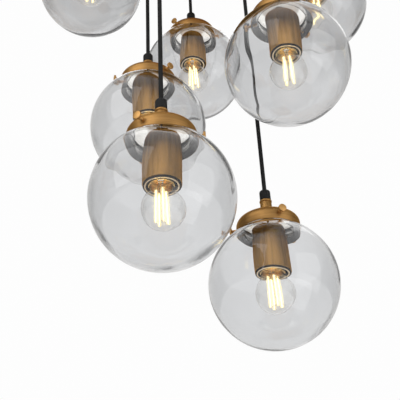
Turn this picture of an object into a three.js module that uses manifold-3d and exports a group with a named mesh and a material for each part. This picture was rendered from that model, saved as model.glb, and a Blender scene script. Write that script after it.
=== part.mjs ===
import * as THREE from 'three';
import { mergeVertices } from 'three/addons/utils/BufferGeometryUtils.js';
import Module from 'manifold-3d';

const wasm = await Module();
wasm.setup();

// Cluster pendant: seven clear glass globes on cords under one round canopy.
// Millimetres, +Z up. The origin is the middle of the ceiling bracket's top face, on the ceiling.
// Bearings are degrees round +Z from +X. The photographed side looks along +Y.

// Canopy
const canopyRadius = 200;
const canopyDepth = 30;
const canopyWall = 1.5;
const canopyCorner = 8;
const canopyCornerSteps = 2;
const canopySides = 32;

// Glands under the canopy, one for each cord
const glandRadius = 9;
const glandFlange = 2.5;
const glandLength = 10;
const glandNoseRadius = 4.8;
const glandNoseTaper = 2;
const glandSides = 8;

// Ceiling bracket, its bushes and the screws that carry the canopy
const bracketEnd = 15;
const bracketWidth = 36;
const bracketThickness = 2.5;
const bracketEndSteps = 4;
const slotLength = 14;
const slotWidth = 5.5;
const slotSpacing = 150;
const bushSpacing = 240;
const bushRadius = 5;
const bushDepth = 6;
const studRadius = 2;
const capNutRadius = 6;
const capNutHeight = 6;
const capNutSteps = 2;
const studSides = 8;

// Terminal block under the bracket
const blockLength = 62;
const blockWidth = 24;
const blockHeight = 17;
const blockPoles = 5;
const blockNotch = 2.4;
const blockOffset = 30;

// Cords and their grips
const cordRadius = 2.6;
const cordSides = 8;
const cordStep = 60;
const gripRadius = 6.7;
const gripLength = 14;
const gripTaper = 2.6;
const gripNoseRadius = 4.5;
const gripSides = 8;

// Glass globes
const globeRadius = 75;
const glassWall = 2.5;
const globeSides = 16;
const globeSteps = 6;
const neckHeight = 12;
const neckStep = 1.5;
const lipHeight = 3;
const lipClearance = 4.5;

// Brass galleries that hold the globes
const galleryRadius = 38;
const galleryWall = 1.2;
const gallerySkirt = 10;
const galleryShoulder = 8.5;
const galleryShoulderSteps = 2;
const galleryShoulderAngle = 80;
const galleryHeight = 45;
const collarRadius = 7;
const collarBore = 4.8;
const collarFootRadius = 9.5;
const collarFoot = 25;
const collarRingRadius = 7.5;
const collarRing = 2.6;
const gallerySides = 14;

// Thumbscrews, three round each gallery
const screwsEach = 3;
const screwRadius = 2;
const screwHeadRadius = 4.7;
const screwHead = 2.6;
const screwStandOff = 6;
const screwHeight = 9.5;
const screwSides = 6;

// Lampholders inside the galleries
const holderRadius = 20.1;
const holderWall = 1.2;
const holderReach = 50;
const holderTop = 10;
const holderCorner = 4;
const holderCone = 5;
const nippleRadius = 4.5;
const nippleBore = 3.2;
const nippleTop = 34;
const socketRadius = 14.3;
const socketDepth = 30;
const socketFloor = 4;
const insertRadius = 19.5;
const insertLip = 1.8;
const holderSides = 12;

// Lamps
const bulbRadius = 22.5;
const bulbDrop = 35;
const bulbWall = 0.8;
const bulbNeckRadius = 12.2;
const bulbNeckLength = 7;
const bulbThroat = 5;
const bulbSides = 8;
const bulbSteps = 3;
const baseRadius = 13.3;
const baseSkirt = 8;
const baseShoulder = 4;
const baseButtonRadius = 4.6;
const baseButton = 2;
const stemRadius = 2.2;
const stemFootRadius = 7;
const stemFoot = 6;
const stemReach = 46;
const filamentCount = 4;
const filamentCircle = 6;
const filamentWidth = 1.5;
const filamentLength = 38;
const filamentArm = 0.8;

// Free gap between pieces that touch, and the overrun of a cut past a face
const gap = 0.3;
const overrun = 1;

// Where the pendants hang: reach from the middle as a share of the canopy's radius, drop from the ceiling
// to the globe's centre as a share of the lowest one's, and the bearing of the first thumbscrew.
const lowestDrop = 720;
const pendantShares = [
  { name: '1', bearing: 247.0, reachShare: 0.803, dropShare: 0.948, screwBearing: 241, looseScrews: true },
  { name: '2', bearing: 349.7, reachShare: 0.275, dropShare: 1.0, screwBearing: 288, looseScrews: true },
  { name: '3', bearing: 186.9, reachShare: 0.444, dropShare: 0.68, screwBearing: 315, looseScrews: false },
  { name: '4', bearing: 105.7, reachShare: 0.48, dropShare: 0.43, screwBearing: 234, looseScrews: false },
  { name: '5', bearing: 308.0, reachShare: 0.7, dropShare: 0.668, screwBearing: 160, looseScrews: false },
  { name: '6', bearing: 187.7, reachShare: 0.86, dropShare: 0.325, screwBearing: 250, looseScrews: false },
  { name: '7', bearing: 11.3, reachShare: 0.852, dropShare: 0.3305, screwBearing: 200, looseScrews: false },
];

// Sizes that follow from those above. In a pendant's own frame z is 0 at its gallery's rim.
const seatRadius = galleryRadius - galleryWall;
const lipRadius = seatRadius - lipClearance;
const neckRadius = lipRadius - neckStep;
const globeCentre = -(Math.sqrt(globeRadius ** 2 - seatRadius ** 2) + gap);
const bulbCentre = globeCentre - bulbDrop + bulbRadius;
const gripBottom = galleryHeight + gap;
const gripTop = gripBottom + gripLength;
const socketTop = -holderReach + socketDepth - insertLip;
const baseTop = socketTop - gap;
const baseBottom = -holderReach - insertLip + gap;
const neckBoreRadius = neckRadius - glassWall;
const screwTip = lipRadius + gap;
const screwHeadFace = galleryRadius + screwStandOff + screwHead;
const bracketLength = bushSpacing + 2 * bracketEnd;

const brass = new THREE.MeshStandardMaterial({ color: 0xb8874e, roughness: 0.32, metalness: 0.9 });
const black = new THREE.MeshStandardMaterial({ color: 0x232326, roughness: 0.55, metalness: 0 });
const cordBlack = new THREE.MeshStandardMaterial({ color: 0x1d1d1f, roughness: 0.7, metalness: 0 });
const steel = new THREE.MeshStandardMaterial({ color: 0xb9bcc0, roughness: 0.4, metalness: 0.9 });
const white = new THREE.MeshStandardMaterial({ color: 0xe9e7e1, roughness: 0.5, metalness: 0 });
const clearGlass = new THREE.MeshStandardMaterial({
  color: 0xdfe3e6,
  roughness: 0.03,
  metalness: 0,
  transparent: true,
  opacity: 0.25,
});
const lampGlass = new THREE.MeshStandardMaterial({
  color: 0xfff4dc,
  roughness: 0.03,
  metalness: 0,
  transparent: true,
  opacity: 0.3,
});
const lampMetal = new THREE.MeshStandardMaterial({ color: 0xc8a064, roughness: 0.35, metalness: 0.8 });

// A closed geometry as a solid. Only positions are kept, and faces that shrink to a line are dropped.
function solidOf(geometry) {
  const bare = geometry.clone();
  bare.deleteAttribute('normal');
  bare.deleteAttribute('uv');
  const merged = mergeVertices(bare);
  const index = merged.index.array;
  const faces = [];
  for (let i = 0; i < index.length; i += 3) {
    const [a, b, c] = [index[i], index[i + 1], index[i + 2]];
    if (a !== b && b !== c && c !== a) faces.push(a, b, c);
  }
  return new wasm.Manifold(new wasm.Mesh({
    numProp: 3,
    vertProperties: new Float32Array(merged.attributes.position.array),
    triVerts: new Uint32Array(faces),
  }));
}

function geometryOf(solid) {
  const mesh = solid.getMesh();
  const geometry = new THREE.BufferGeometry();
  geometry.setAttribute('position', new THREE.BufferAttribute(new Float32Array(mesh.vertProperties), 3));
  geometry.setIndex(new THREE.BufferAttribute(new Uint32Array(mesh.triVerts), 1));
  geometry.computeVertexNormals();
  return geometry;
}

// Turns an outline of [radius, height] points round +Z. The outline goes up on the outside of the wall.
function turned(outline, sides) {
  const points = outline.map(([radius, height]) => new THREE.Vector2(radius, height));
  const closed = outline[0][0] > 0;
  if (closed) points.push(points[0].clone());
  return new THREE.LatheGeometry(points, sides).rotateX(Math.PI / 2);
}

// Points of an arc in an outline, from one angle to another in degrees, both ends included.
function arc(centreRadius, centreHeight, radius, from, to, steps) {
  const points = [];
  for (let i = 0; i <= steps; i += 1) {
    const angle = THREE.MathUtils.degToRad(from + ((to - from) * i) / steps);
    points.push([centreRadius + radius * Math.cos(angle), centreHeight + radius * Math.sin(angle)]);
  }
  return points;
}

// A round bar along +Z from one height to another.
function bar(radius, from, to, sides) {
  return turned([[0, from], [radius, from], [radius, to], [0, to]], sides);
}

// A box given by its size and its centre.
function block(size, centre) {
  return new THREE.BoxGeometry(...size).translate(...centre);
}

function addPiece(parent, name, geometry, material) {
  const mesh = new THREE.Mesh(geometry, material.clone());
  mesh.name = name;
  parent.add(mesh);
  return mesh;
}

// Places of the pendants in the plan, and the height of each globe's centre.
function placeOf(pendant) {
  const angle = THREE.MathUtils.degToRad(pendant.bearing);
  const reach = canopyRadius * pendant.reachShare;
  const drop = lowestDrop * pendant.dropShare;
  return new THREE.Vector3(Math.cos(angle) * reach, Math.sin(angle) * reach, -drop);
}

// The canopy is a shallow pan, open to the ceiling, with a gland for each cord and holes for its screws.
function canopy() {
  const cornerCentre = [canopyRadius - canopyCorner, canopyCorner - canopyDepth];
  const outline = [
    [0, -canopyDepth],
    ...arc(...cornerCentre, canopyCorner, -90, 0, canopyCornerSteps),
    [canopyRadius, 0],
    [canopyRadius - canopyWall, 0],
    ...arc(...cornerCentre, canopyCorner - canopyWall, 0, -90, canopyCornerSteps),
    [0, canopyWall - canopyDepth],
  ];
  let pan = solidOf(turned(outline, canopySides));
  const middle = canopyWall / 2 - canopyDepth;
  const nose = glandLength + canopyDepth;
  const gland = turned([
    [0, -nose],
    [glandNoseRadius, -nose],
    [(glandRadius + glandNoseRadius) / 2, glandNoseTaper - nose],
    [(glandRadius + glandNoseRadius) / 2, -glandFlange - canopyDepth],
    [glandRadius, -glandFlange - canopyDepth],
    [glandRadius, middle],
    [0, middle],
  ], glandSides);
  const bore = bar(cordRadius + gap, -nose - overrun, overrun - canopyDepth + canopyWall, cordSides);
  for (const pendant of pendantShares) {
    const place = placeOf(pendant);
    pan = pan.add(solidOf(gland.clone().translate(place.x, place.y, 0)));
    pan = pan.subtract(solidOf(bore.clone().translate(place.x, place.y, 0)));
  }
  const hole = bar(studRadius + gap, -canopyDepth - overrun, overrun - canopyDepth + canopyWall, studSides);
  for (const side of [-1, 1]) {
    pan = pan.subtract(solidOf(hole.clone().translate(0, (side * bushSpacing) / 2, 0)));
  }
  return geometryOf(pan);
}

// A flat slot outline with round ends, along Y.
function slotOutline(length, width, steps) {
  const outline = new THREE.Shape();
  const straight = (length - width) / 2;
  for (const [middle, from] of [[straight, 0], [-straight, 180]]) {
    for (let i = 0; i <= steps; i += 1) {
      const angle = THREE.MathUtils.degToRad(from + (180 * i) / steps);
      const point = [(width / 2) * Math.cos(angle), middle + (width / 2) * Math.sin(angle)];
      if (outline.curves.length === 0 && i === 0 && from === 0) outline.moveTo(...point);
      else outline.lineTo(...point);
    }
  }
  outline.closePath();
  return outline;
}

// The bracket is a flat bar on the ceiling, with two slots for ceiling screws and a bush for each stud.
function bracket() {
  const plate = new THREE.ExtrudeGeometry(slotOutline(bracketLength, bracketWidth, bracketEndSteps), {
    depth: bracketThickness,
    bevelEnabled: false,
  }).translate(0, 0, -bracketThickness);
  const slot = new THREE.ExtrudeGeometry(slotOutline(slotLength, slotWidth, bracketEndSteps), {
    depth: bracketThickness + 2 * overrun,
    bevelEnabled: false,
  }).translate(0, 0, -bracketThickness - overrun);
  const bush = bar(bushRadius, -bracketThickness - bushDepth, -bracketThickness / 2, studSides);
  const thread = bar(studRadius + gap, -bracketThickness - bushDepth - overrun, overrun, studSides);
  let solid = solidOf(plate);
  for (const side of [-1, 1]) {
    solid = solid.subtract(solidOf(slot.clone().translate(0, (side * slotSpacing) / 2, 0)));
    solid = solid.add(solidOf(bush.clone().translate(0, (side * bushSpacing) / 2, 0)));
    solid = solid.subtract(solidOf(thread.clone().translate(0, (side * bushSpacing) / 2, 0)));
  }
  return geometryOf(solid);
}

// A stud with a domed cap nut, which holds the canopy up against the bracket.
function canopyScrew() {
  const seat = -canopyDepth - gap;
  const dome = arc(0, 0, capNutRadius, -90, 0, capNutSteps).map(([radius, height]) => [
    radius,
    seat - capNutHeight / 2 + (height * capNutHeight) / 2 / capNutRadius,
  ]);
  dome[0][0] = 0;
  return turned([
    ...dome,
    [capNutRadius, seat],
    [studRadius, seat],
    [studRadius, -bracketThickness / 2],
    [0, -bracketThickness / 2],
  ], studSides);
}

// The terminal block is a moulded strip, notched between its poles.
function terminalBlock() {
  const top = -bracketThickness - gap;
  const size = [blockWidth, blockLength, blockHeight];
  let solid = solidOf(block(size, [0, -blockOffset, top - blockHeight / 2]));
  const notch = [blockWidth / 2, blockNotch, blockHeight];
  const pitch = blockLength / blockPoles;
  const firstEnd = -blockOffset - blockLength / 2;
  for (let i = 1; i < blockPoles; i += 1) {
    for (const side of [-1, 1]) {
      const centre = [(side * blockWidth) / 2, firstEnd + i * pitch, top - blockHeight];
      solid = solid.subtract(solidOf(block(notch, centre)));
    }
  }
  return geometryOf(solid);
}

// A cord hangs straight from its gland to its grip.
function cord(length) {
  const start = new THREE.Vector3(0, 0, gripTop + gap);
  const line = new THREE.LineCurve3(start, start.clone().setZ(start.z + length));
  const section = new THREE.Shape();
  for (let i = 0; i < cordSides; i += 1) {
    const angle = (2 * Math.PI * i) / cordSides;
    section[i === 0 ? 'moveTo' : 'lineTo'](cordRadius * Math.cos(angle), cordRadius * Math.sin(angle));
  }
  section.closePath();
  return new THREE.ExtrudeGeometry(section, {
    steps: Math.max(2, Math.round(length / cordStep)),
    extrudePath: line,
    bevelEnabled: false,
  });
}

// The grip is a short black barrel that clamps the cord on top of the gallery's collar.
function cordGrip() {
  return turned([
    [0, gripBottom],
    [gripRadius, gripBottom],
    [gripRadius, gripTop - gripTaper],
    [gripNoseRadius, gripTop],
    [0, gripTop],
  ], gripSides);
}

// Thumbscrew along +X at its height, with its tip just clear of the lip.
function thumbscrew() {
  const head = screwHeadFace - screwHead;
  return turned([
    [0, screwTip],
    [screwRadius, screwTip],
    [screwRadius, head],
    [screwHeadRadius, head],
    [screwHeadRadius, screwHeadFace],
    [0, screwHeadFace],
  ], screwSides).rotateY(Math.PI / 2).translate(0, 0, screwHeight);
}

// The gallery is a spun brass cap: a straight skirt, a round shoulder, a low crown and a collar.
function gallery(pendant) {
  const crown = gallerySkirt + galleryShoulder;
  const shoulderCentre = galleryRadius - galleryShoulder;
  const shoulderInside = galleryShoulder - galleryWall;
  const outline = [
    [seatRadius, 0],
    [galleryRadius, 0],
    ...arc(shoulderCentre, gallerySkirt, galleryShoulder, 0, galleryShoulderAngle, galleryShoulderSteps),
    [collarFootRadius, collarFoot - (collarFootRadius - collarRadius)],
    [collarRadius, collarFoot],
    [collarRadius, galleryHeight - collarRing],
    [collarRingRadius, galleryHeight - collarRing],
    [collarRingRadius, galleryHeight],
    [collarBore, galleryHeight],
    [collarBore, crown + (collarFoot - crown) / 2],
    ...arc(shoulderCentre, gallerySkirt, shoulderInside, galleryShoulderAngle, 0, galleryShoulderSteps),
  ];
  let solid = solidOf(turned(outline, gallerySides));
  for (let i = 0; i < screwsEach; i += 1) {
    const turn = THREE.MathUtils.degToRad(pendant.screwBearing + (360 * i) / screwsEach);
    if (pendant.looseScrews) {
      const hole = bar(screwRadius + gap, screwTip - overrun, galleryRadius + overrun, screwSides);
      hole.rotateY(Math.PI / 2).translate(0, 0, screwHeight).rotateZ(turn);
      solid = solid.subtract(solidOf(hole));
    } else {
      solid = solid.add(solidOf(thumbscrew().rotateZ(turn)));
    }
  }
  return geometryOf(solid);
}

// The globe is a blown shell, open at a short neck with a lip that stands up inside the gallery.
function globe() {
  const innerRadius = globeRadius - glassWall;
  const outerEnd = THREE.MathUtils.radToDeg(Math.acos(neckRadius / globeRadius));
  const innerEnd = THREE.MathUtils.radToDeg(Math.acos(neckBoreRadius / innerRadius));
  const outline = [
    ...arc(0, globeCentre, globeRadius, -90, outerEnd, globeSteps + 1),
    [neckRadius, neckHeight - lipHeight],
    [lipRadius, neckHeight - lipHeight / 2],
    [lipRadius, neckHeight],
    [neckBoreRadius, neckHeight],
    ...arc(0, globeCentre, innerRadius, innerEnd, -90, globeSteps),
  ];
  outline[0][0] = 0;
  outline[outline.length - 1][0] = 0;
  return geometryOf(solidOf(turned(outline, globeSides)));
}

// The lampholder is a brass sleeve on a hollow nipple, round a black insert whose lip shows below it.
function lampholder() {
  const cavity = holderRadius - holderWall;
  const outline = [
    [0, socketTop],
    [socketRadius, socketTop],
    [socketRadius, -holderReach - insertLip],
    [insertRadius, -holderReach - insertLip],
    [insertRadius, -holderReach],
    [holderRadius, -holderReach],
    [holderRadius, holderTop - holderCorner],
    [holderRadius - holderCorner, holderTop],
    [nippleRadius, holderTop + holderCone],
    [nippleRadius, nippleTop],
    [nippleBore, nippleTop],
    [nippleBore, holderTop + holderCone - holderWall],
    [cavity - holderCorner, holderTop - holderWall],
    [cavity, holderTop - holderCorner],
    [cavity, socketTop + socketFloor],
    [0, socketTop + socketFloor],
  ];
  return geometryOf(solidOf(turned(outline, holderSides)));
}

// The lamp's glass is a small globe drawn in to a neck, which stands inside the base's skirt.
function bulbGlass() {
  const inner = bulbRadius - bulbWall;
  const neckInner = bulbNeckRadius - bulbWall;
  const throat = baseBottom - bulbThroat;
  const outline = [
    ...arc(0, bulbCentre, bulbRadius, -90, 45, bulbSteps),
    [bulbNeckRadius, throat],
    [bulbNeckRadius, baseBottom + bulbNeckLength],
    [neckInner, baseBottom + bulbNeckLength],
    [neckInner, throat],
    ...arc(0, bulbCentre, inner, 45, -90, bulbSteps),
  ];
  outline[0][0] = 0;
  outline[outline.length - 1][0] = 0;
  return geometryOf(solidOf(turned(outline, bulbSides)));
}

// The lamp's base with its contact, and the stem and light filaments that it carries inside the glass.
function bulbBase() {
  const skirtInner = bulbNeckRadius + gap;
  const cup = baseBottom + baseSkirt;
  const shoulder = baseTop - baseButton - baseShoulder;
  const stemEnd = cup - stemFoot - stemReach;
  const outline = [
    [0, stemEnd],
    [stemRadius, stemEnd],
    [stemRadius, cup - stemFoot],
    [stemFootRadius, cup],
    [skirtInner, cup],
    [skirtInner, baseBottom],
    [baseRadius, baseBottom],
    [baseRadius, shoulder],
    [baseButtonRadius, baseTop - baseButton],
    [baseButtonRadius, baseTop],
    [0, baseTop],
  ];
  let solid = solidOf(turned(outline, bulbSides));
  const low = stemEnd + filamentArm;
  const high = low + filamentLength;
  for (let i = 0; i < filamentCount; i += 1) {
    const turn = (2 * Math.PI * i) / filamentCount;
    const centre = [filamentCircle, 0, (low + high) / 2];
    const filament = block([filamentWidth, filamentWidth, filamentLength], centre);
    solid = solid.add(solidOf(filament.rotateZ(turn)));
  }
  const arm = block([2 * filamentCircle, filamentArm, filamentArm], [0, 0, low + filamentArm]);
  for (const turn of [0, Math.PI / 2]) solid = solid.add(solidOf(arm.clone().rotateZ(turn)));
  return geometryOf(solid);
}

// One pendant, hung so that its globe's centre is at its place.
function addPendant(parent, pendant) {
  const place = placeOf(pendant);
  const group = new THREE.Group();
  group.position.set(place.x, place.y, place.z - globeCentre);
  parent.add(group);
  const cordTop = -canopyDepth - glandLength - gap;
  addPiece(group, `cord_${pendant.name}`, cord(cordTop - group.position.z - gripTop - gap), cordBlack);
  addPiece(group, `cord_grip_${pendant.name}`, cordGrip(), black);
  addPiece(group, `gallery_${pendant.name}`, gallery(pendant), brass);
  addPiece(group, `lampholder_${pendant.name}`, lampholder(), brass);
  addPiece(group, `globe_${pendant.name}`, globe(), clearGlass);
  addPiece(group, `bulb_glass_${pendant.name}`, bulbGlass(), lampGlass);
  addPiece(group, `bulb_base_${pendant.name}`, bulbBase(), lampMetal);
  if (!pendant.looseScrews) return;
  for (let i = 0; i < screwsEach; i += 1) {
    const screw = addPiece(group, `thumbscrew_${pendant.name}${'abc'[i]}`, thumbscrew(), brass);
    screw.rotation.z = THREE.MathUtils.degToRad(pendant.screwBearing + (360 * i) / screwsEach);
  }
}

const group = new THREE.Group();
addPiece(group, 'canopy', canopy(), brass);
addPiece(group, 'ceiling_bracket', bracket(), steel);
addPiece(group, 'terminal_block', terminalBlock(), white);
for (const side of [-1, 1]) {
  const screw = addPiece(group, side < 0 ? 'canopy_screw_1' : 'canopy_screw_2', canopyScrew(), brass);
  screw.position.y = (side * bushSpacing) / 2;
}
for (const pendant of pendantShares) addPendant(group, pendant);

export default group;
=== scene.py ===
import math

import bmesh
import bpy
from mathutils import Matrix, Vector, noise


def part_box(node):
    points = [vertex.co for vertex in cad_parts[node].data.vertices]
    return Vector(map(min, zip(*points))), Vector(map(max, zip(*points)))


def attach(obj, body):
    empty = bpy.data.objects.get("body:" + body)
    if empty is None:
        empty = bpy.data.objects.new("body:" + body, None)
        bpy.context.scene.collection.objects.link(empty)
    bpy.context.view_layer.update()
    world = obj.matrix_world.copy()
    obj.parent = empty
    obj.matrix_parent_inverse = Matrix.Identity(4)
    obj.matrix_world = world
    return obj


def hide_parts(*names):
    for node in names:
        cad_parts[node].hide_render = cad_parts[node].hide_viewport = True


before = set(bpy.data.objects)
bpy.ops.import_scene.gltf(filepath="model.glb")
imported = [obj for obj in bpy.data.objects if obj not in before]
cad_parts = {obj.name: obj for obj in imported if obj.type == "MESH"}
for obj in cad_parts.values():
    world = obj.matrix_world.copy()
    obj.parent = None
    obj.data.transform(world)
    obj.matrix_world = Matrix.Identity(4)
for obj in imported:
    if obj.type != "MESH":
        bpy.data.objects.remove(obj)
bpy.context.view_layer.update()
print("frame loaded:", len(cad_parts), "nodes")

mm = 0.001
gap = 0.3  # the free gap between pieces, in millimetres, as in the solids
creaseTurn = 60  # edges that turn by more than this many degrees are rounded


# camera, at the photo's viewpoint: below the lamps and looking up
camera = {
    "place": (-0.0255, -0.7675, -1.062), "pitch": 31.19, "roll": -2.73,
    "lens": 65.25, "sensor": 36.0, "near": 0.02,
}


def makeCamera():
    data = bpy.data.cameras.new("viewCamera")
    data.lens = camera["lens"]
    data.sensor_width = camera["sensor"]
    data.clip_start = camera["near"]
    viewer = bpy.data.objects.new("viewCamera", data)
    bpy.context.scene.collection.objects.link(viewer)
    tilt = Matrix.Rotation(math.radians(90 + camera["pitch"]), 4, "X")
    roll = Matrix.Rotation(math.radians(camera["roll"]), 4, "Z")
    viewer.matrix_world = Matrix.Translation(camera["place"]) @ tilt @ roll
    bpy.context.scene.camera = viewer


makeCamera()
print("camera placed")


# pendants: the turn of the first thumbscrew and of the lamp, and whether the screws are nodes of their own
pendants = {
    "1": {"screws": 241, "lamp": 22, "loose": True},
    "2": {"screws": 288, "lamp": 12, "loose": True},
    "3": {"screws": 315, "lamp": 24, "loose": False},
    "4": {"screws": 234, "lamp": 20, "loose": False},
    "5": {"screws": 160, "lamp": 26, "loose": False},
    "6": {"screws": 250, "lamp": 70, "loose": False},
    "7": {"screws": 200, "lamp": 48, "loose": False},
}

# their places, read from the frame: the axis in plan and the height of the gallery's rim
for name, pendant in pendants.items():
    globeLow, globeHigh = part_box(f"globe_{name}")
    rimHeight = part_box(f"gallery_{name}")[0][2]
    middle = [(low + high) / 2 for low, high in zip(globeLow, globeHigh)]
    pendant["rim"] = Vector((middle[0], middle[1], rimHeight))
    pendant["body"] = f"pendant_{name}"


# shader nodes
class Tone:
    # one output of a node: sums with it add Math nodes, and node() adds any other kind
    def __init__(self, tree, socket=None):
        self.tree = tree
        self.socket = socket

    def node(self, kind, settings=None, sockets=None, output=0):
        made = self.tree.nodes.new(kind)
        for key, value in (settings or {}).items():
            if key == "stops":
                ramp = made.color_ramp
                while len(ramp.elements) < len(value):
                    ramp.elements.new(0.5)
                for stop, (place, colour) in zip(ramp.elements, value):
                    stop.position = place
                    stop.color = colour
            else:
                setattr(made, key, value)
        for key, value in (sockets or {}).items():
            if isinstance(value, Tone):
                self.tree.links.new(value.socket, made.inputs[key])
            else:
                made.inputs[key].default_value = value
        return Tone(self.tree, made.outputs[output] if made.outputs else None)

    def sum(self, operation, first, second):
        return self.node("ShaderNodeMath", {"operation": operation}, {0: first, 1: second})

    def __add__(self, other):
        return self.sum("ADD", self, other)

    __radd__ = __add__

    def __mul__(self, other):
        return self.sum("MULTIPLY", self, other)

    __rmul__ = __mul__

    def __sub__(self, other):
        return self.sum("SUBTRACT", self, other)

    def __rsub__(self, other):
        return self.sum("SUBTRACT", other, self)

    def __pow__(self, other):
        return self.sum("POWER", self, other)

    def clamped(self):
        return self.node("ShaderNodeClamp", None, {"Value": self})

    def mix(self, low, high):  # a colour between two others, by this value
        return self.node("ShaderNodeMix", {"data_type": "RGBA"}, {0: self, 6: low, 7: high}, 2)

    def noise(self, scale, size=1.0, detail=3.0, roughness=0.5):  # self is unused but for its tree
        place = self.node("ShaderNodeTexCoord", None, None, "Object")
        spread = self.node("ShaderNodeMapping", None, {"Vector": place, "Scale": scale})
        return self.node("ShaderNodeTexNoise", None, {
            "Vector": spread, "Scale": size, "Detail": detail, "Roughness": roughness,
        })

    def rise(self):  # 0 at a piece's foot and 1 at its top, from the mesh's own attribute
        return self.node("ShaderNodeAttribute", {"attribute_name": "rise"}, None, "Fac")

    def bump(self, strength, distance):
        return self.node("ShaderNodeBump", None, {"Height": self, "Strength": strength, "Distance": distance})

    def ray(self, kind):
        return self.node("ShaderNodeLightPath", None, None, kind)

    def blend(self, first, second):  # a shader between two others, by this value
        return self.node("ShaderNodeMixShader", None, {0: self, 1: first, 2: second})


def newMaterial(name):
    material = bpy.data.materials.new(name)
    material.use_nodes = True
    material.node_tree.nodes.clear()
    return material, Tone(material.node_tree)


def finishMaterial(material, start, sockets, through=None, share=None):  # through is blended in by its share
    surface = start.node("ShaderNodeBsdfPrincipled", None, sockets)
    if through:
        surface = share.blend(surface, through)
    start.node("ShaderNodeOutputMaterial", None, {"Surface": surface})
    return material


# brass, spun and brushed
brassValues = {
    "pale": (0.60, 0.345, 0.125, 1),
    "deep": (0.34, 0.185, 0.062, 1),
    "sleevePale": (0.60, 0.335, 0.100, 1),
    "sleeveDeep": (0.27, 0.138, 0.040, 1),
    "tarnish": (0.15, 0.085, 0.040, 1),
    "edge": (0.84, 0.66, 0.45, 1),
    "sleeveEdge": (0.46, 0.31, 0.17, 1),
    "roughness": 0.29,
    "roughnessSpread": 0.20,
    "cloudShare": 0.9,
    "topShadeFrom": 0.12,
    "topShadeRate": 2.2,
    "stainFrom": 0.72,
    "stainRate": 3.0,
    "speckShare": 0.35,
}


def brushedBrass(name, grain, paintedShading=0.0, wear=0.35, streaks=0.9, paintedTopShade=0.0, tones=("deep", "pale", "edge")):
    material, start = newMaterial(name)
    lines = start.noise(grain, 1.0, 5.0, 0.6)
    clouds = start.noise((1, 1, 1), 26.0, 3.0)
    specks = start.noise((1, 1, 1), 420.0, 2.0)
    values = brassValues
    # painted shade darkens the whole of a part's brass, and below zero it is painted light that brightens it:
    # lit and shaded copies of one brass
    tone = (clouds - 0.5) * values["cloudShare"] + (lines - 0.5) * streaks + 0.5 - paintedShading
    # painted shade: the brass darkens towards its top, where the gallery shades it and is mirrored dark in it
    if paintedTopShade:  # darker towards its top
        tone = tone - ((start.rise() - values["topShadeFrom"]) * values["topShadeRate"]).clamped() * paintedTopShade
    low, high, edge = [values[key] for key in tones]
    marks = clouds + specks * values["speckShare"] - values["stainFrom"]
    stain = (marks * wear * values["stainRate"]).clamped()
    return finishMaterial(material, start, {
        "Base Color": stain.mix(tone.clamped().mix(low, high), values["tarnish"]),
        "Metallic": 1.0,
        "Specular Tint": edge,
        "Roughness": lines * values["roughnessSpread"] + clouds * 0.10 + values["roughness"],
        "Normal": (lines * 0.8 + specks * 0.2).bump(0.2, 0.0004),
    })


# the galleries and canopy are darkened by painted shade, the sleeves and screws brightened by painted light
galleryBrass = brushedBrass("galleryBrass", (14, 14, 900), paintedShading=0.38, streaks=1.7)
# the sleeves darken with painted shade towards their tops
holderBrass = brushedBrass(
    "holderBrass", (190, 190, 12), paintedShading=-0.4, wear=0.5, streaks=3.0, paintedTopShade=0.9,
    tones=("sleeveDeep", "sleevePale", "sleeveEdge"),
)
canopyBrass = brushedBrass("canopyBrass", (12, 12, 12), paintedShading=0.1)
screwBrass = brushedBrass("screwBrass", (500, 500, 500), paintedShading=-0.35, wear=0.1)


# the galleries' insides: a skirt in near-black painted shade, and pale plating in the crown that throws
# painted light back down
insideShadeValues = {
    "low": (0.010, 0.010, 0.010, 1), "high": (0.034, 0.033, 0.032, 1), "metallic": 0.2, "roughness": 0.42,
}
liningValues = {
    "low": (0.88, 0.86, 0.82, 1), "high": (0.97, 0.96, 0.93, 1), "metallic": 0.85, "roughness": 0.1,
    "paintedGlow": (1.0, 0.97, 0.91, 1), "paintedGlowStrength": 0.45,
}


# the skirt's near-black is painted shade, where the gallery's inside lies in shadow
def paintedShadeInside():
    material, start = newMaterial("paintedShadeInside")
    clouds = start.noise((1, 1, 1), 60.0, 4.0)
    rings = start.noise((6, 6, 700), 1.0, 3.0)
    return finishMaterial(material, start, {
        "Base Color": clouds.mix(insideShadeValues["low"], insideShadeValues["high"]),
        "Metallic": insideShadeValues["metallic"],
        "Roughness": rings * 0.2 + insideShadeValues["roughness"],
        "Normal": rings.bump(0.1, 0.0004),
    })


# pale plating that glows with painted light, though it is no lamp
def paintedLightLining():
    material, start = newMaterial("paintedLightLining")
    clouds = start.noise((1, 1, 1), 45.0, 3.0)
    rings = start.noise((8, 8, 500), 1.0, 2.0)
    return finishMaterial(material, start, {
        "Base Color": clouds.mix(liningValues["low"], liningValues["high"]),
        "Metallic": liningValues["metallic"],
        "Roughness": rings * 0.12 + liningValues["roughness"],
        "Emission Color": liningValues["paintedGlow"],
        "Emission Strength": liningValues["paintedGlowStrength"],
        "Normal": (rings + clouds * 0.5).bump(0.15, 0.0006),
    })


paintedShadeMetal = paintedShadeInside()
liningWithPaintedLight = paintedLightLining()


# plastics and the cords' sheath
def mouldedPlastic(name, low, high, roughness):
    material, start = newMaterial(name)
    grain = start.noise((1, 1, 1), 1400.0, 2.0)
    clouds = start.noise((1, 1, 1), 90.0, 3.0)
    return finishMaterial(material, start, {
        "Base Color": clouds.mix(low, high),
        "Roughness": grain * 0.12 + clouds * 0.08 + roughness - 0.1,
        "Specular IOR Level": 0.15,
        "Normal": grain.bump(0.18, 0.0002),
    })


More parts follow.
